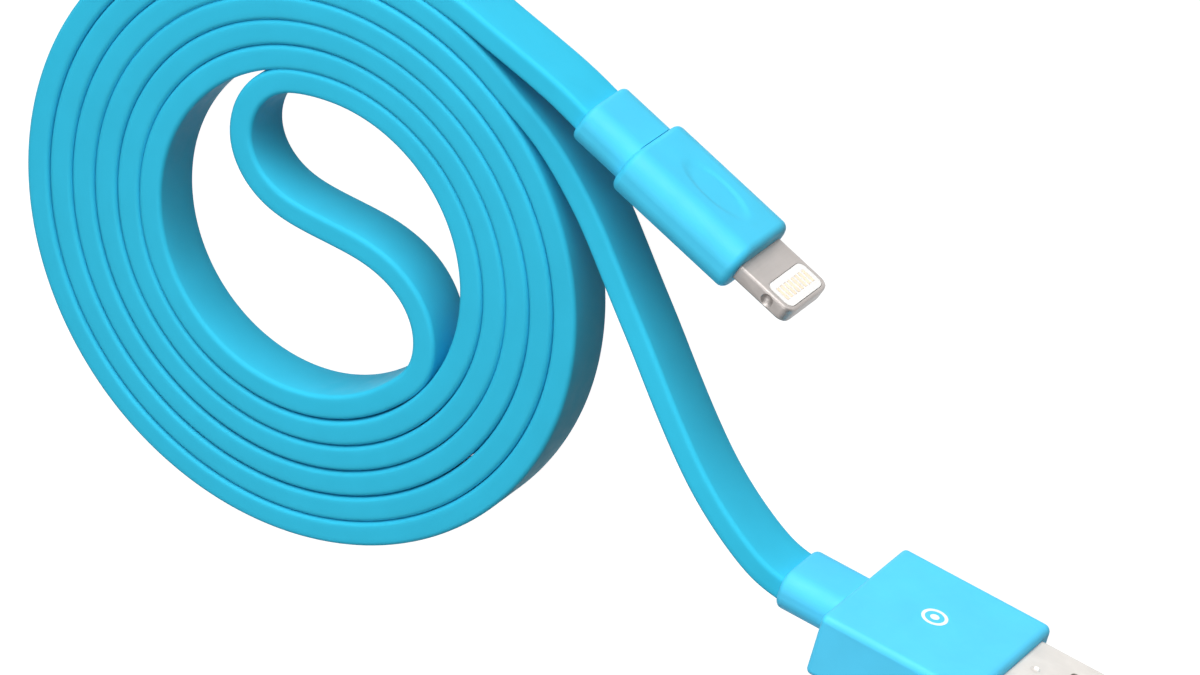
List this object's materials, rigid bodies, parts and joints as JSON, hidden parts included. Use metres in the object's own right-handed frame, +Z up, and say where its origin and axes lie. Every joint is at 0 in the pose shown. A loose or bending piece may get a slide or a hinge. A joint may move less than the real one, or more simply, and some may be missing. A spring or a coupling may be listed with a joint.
{
  "type": "charging cable",
  "caption": "Flat charging cable wound into a flat coil, with a rectangular host plug and a slim reversible tab plug, both in soft-edged blue housings.",
  "frame": {"origin": "on the surface the cable lies on, under the middle of the host plug", "axes": "+X is the way the host plug goes into its socket, +Z is up, and +Y is the side of the host plug that its contacts face"},
  "size_m": [0.1149, 0.061, 0.0147],
  "materials": {
    "shell_steel": "satin nickel plate",
    "tab_steel": "satin steel",
    "contact_gold": "gold plate",
    "tongue_plastic": "matt",
    "core_plastic": "matt",
    "insert_white": "gloss",
    "housing_blue": "fine matt",
    "relief_blue": "soft matt",
    "cord_blue": "soft satin",
    "board_green": "satin",
    "chip_black": "matt",
    "capacitor_tan": "satin",
    "wire_red": "satin",
    "wire_white": "satin",
    "wire_green": "satin",
    "wire_black": "satin"
  },
  "bodies": {
    "root": {"host_plug_shell": "shell_steel", "host_plug_tongue": "tongue_plastic", "host_plug_contacts": "contact_gold", "host_plug_crimp_ring": "shell_steel", "host_plug_inner_mould": "core_plastic", "host_plug_housing": "housing_blue", "host_plug_strain_relief": "relief_blue", "host_power_wire": "wire_red", "host_data_minus_wire": "wire_white", "host_data_plus_wire": "wire_green", "host_ground_wire": "wire_black", "cable_lead_host": "cord_blue", "cable_coil": "cord_blue", "cable_centre_fold": "cord_blue", "cable_lead_device": "cord_blue", "device_plug_frame": "tab_steel", "device_plug_contact_insert": "insert_white", "device_plug_front_contacts": "contact_gold", "device_plug_back_contacts": "contact_gold", "device_plug_board": "board_green", "device_plug_chip": "chip_black", "device_plug_capacitors": "capacitor_tan", "device_plug_shield_can": "tab_steel", "device_plug_inner_mould": "core_plastic", "device_plug_housing": "housing_blue", "device_plug_strain_relief": "relief_blue", "device_power_wire": "wire_red", "device_data_minus_wire": "wire_white", "device_data_plus_wire": "wire_green", "device_ground_wire": "wire_black"}
  },
  "joints": []
}
